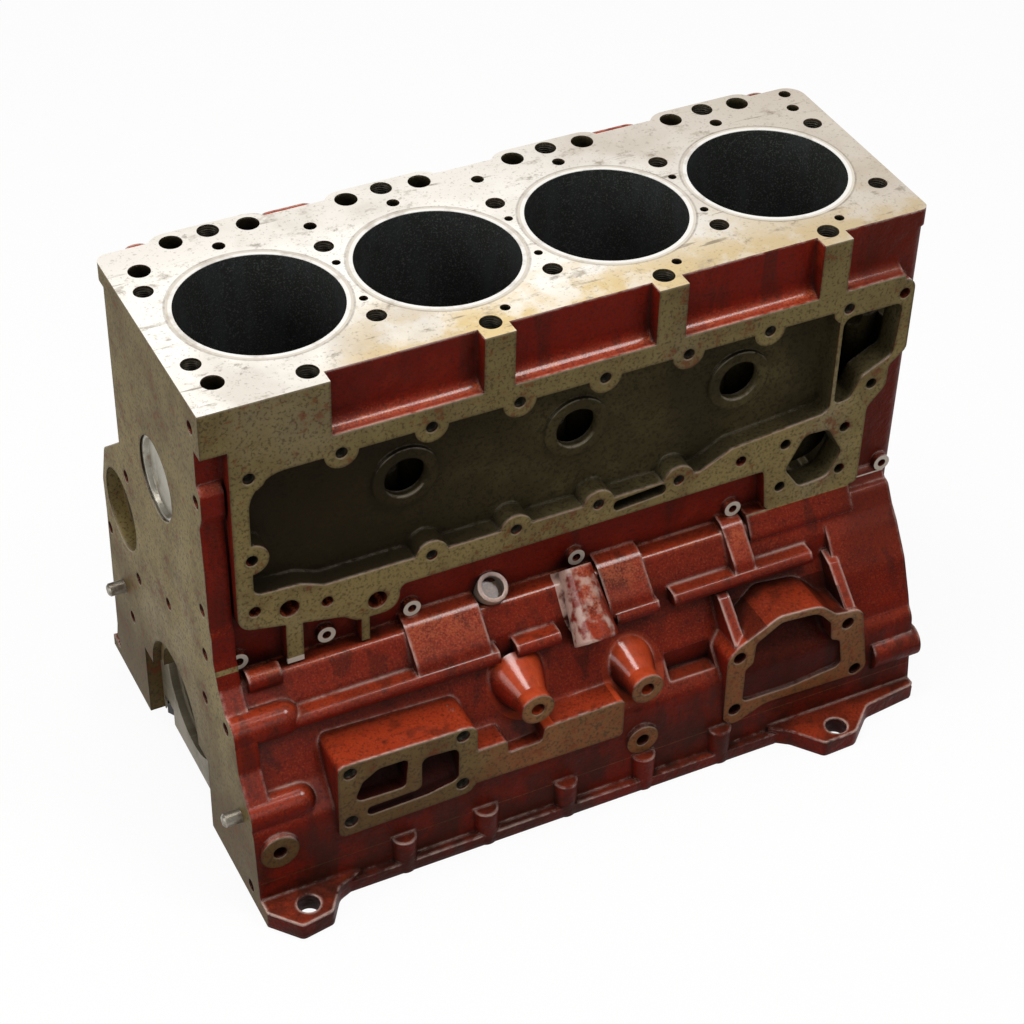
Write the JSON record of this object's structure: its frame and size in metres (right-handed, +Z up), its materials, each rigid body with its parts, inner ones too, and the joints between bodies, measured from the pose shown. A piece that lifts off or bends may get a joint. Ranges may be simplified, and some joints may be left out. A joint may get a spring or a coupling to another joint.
{
  "type": "engine block",
  "caption": "Cast-iron inline engine block, red painted with machined faces, dry liners, main bearing caps, cam bushes, core plugs and dowels.",
  "frame": {"origin": "on the crankshaft axis at mid-length of the head face", "axes": "+X along the crankshaft from the end with the open crank bore, +Z up the cylinders, -Y towards the oil-cooler flange"},
  "size_m": [0.549, 0.3349, 0.389],
  "materials": {
    "block_iron": "glossy red paint over cast iron, bare on machined faces",
    "liner_iron": "honed, bright at the top ring",
    "cap_iron": "machined cast iron",
    "bush_steel": "satin",
    "plug_steel": "plain pressed sheet",
    "bolt_steel": "black oxide",
    "dowel_steel": "ground"
  },
  "bodies": {
    "root": {"cylinder_block": "block_iron", "cylinder_liner_1": "liner_iron", "cylinder_liner_2": "liner_iron", "cylinder_liner_3": "liner_iron", "cylinder_liner_4": "liner_iron", "main_bearing_cap_1": "cap_iron", "cam_bush_1": "bush_steel", "main_bearing_cap_2": "cap_iron", "cam_bush_2": "bush_steel", "main_bearing_cap_3": "cap_iron", "cam_bush_3": "bush_steel", "main_bearing_cap_4": "cap_iron", "cam_bush_4": "bush_steel", "main_bearing_cap_5": "cap_iron", "cam_bush_5": "bush_steel", "main_cap_bolts": "bolt_steel", "core_plug_near_end": "plug_steel", "core_plug_far_end": "plug_steel", "core_plug_back_1": "plug_steel", "core_plug_back_2": "plug_steel", "core_plug_back_3": "plug_steel", "end_dowel_1": "dowel_steel", "end_dowel_2": "dowel_steel"}
  },
  "joints": []
}
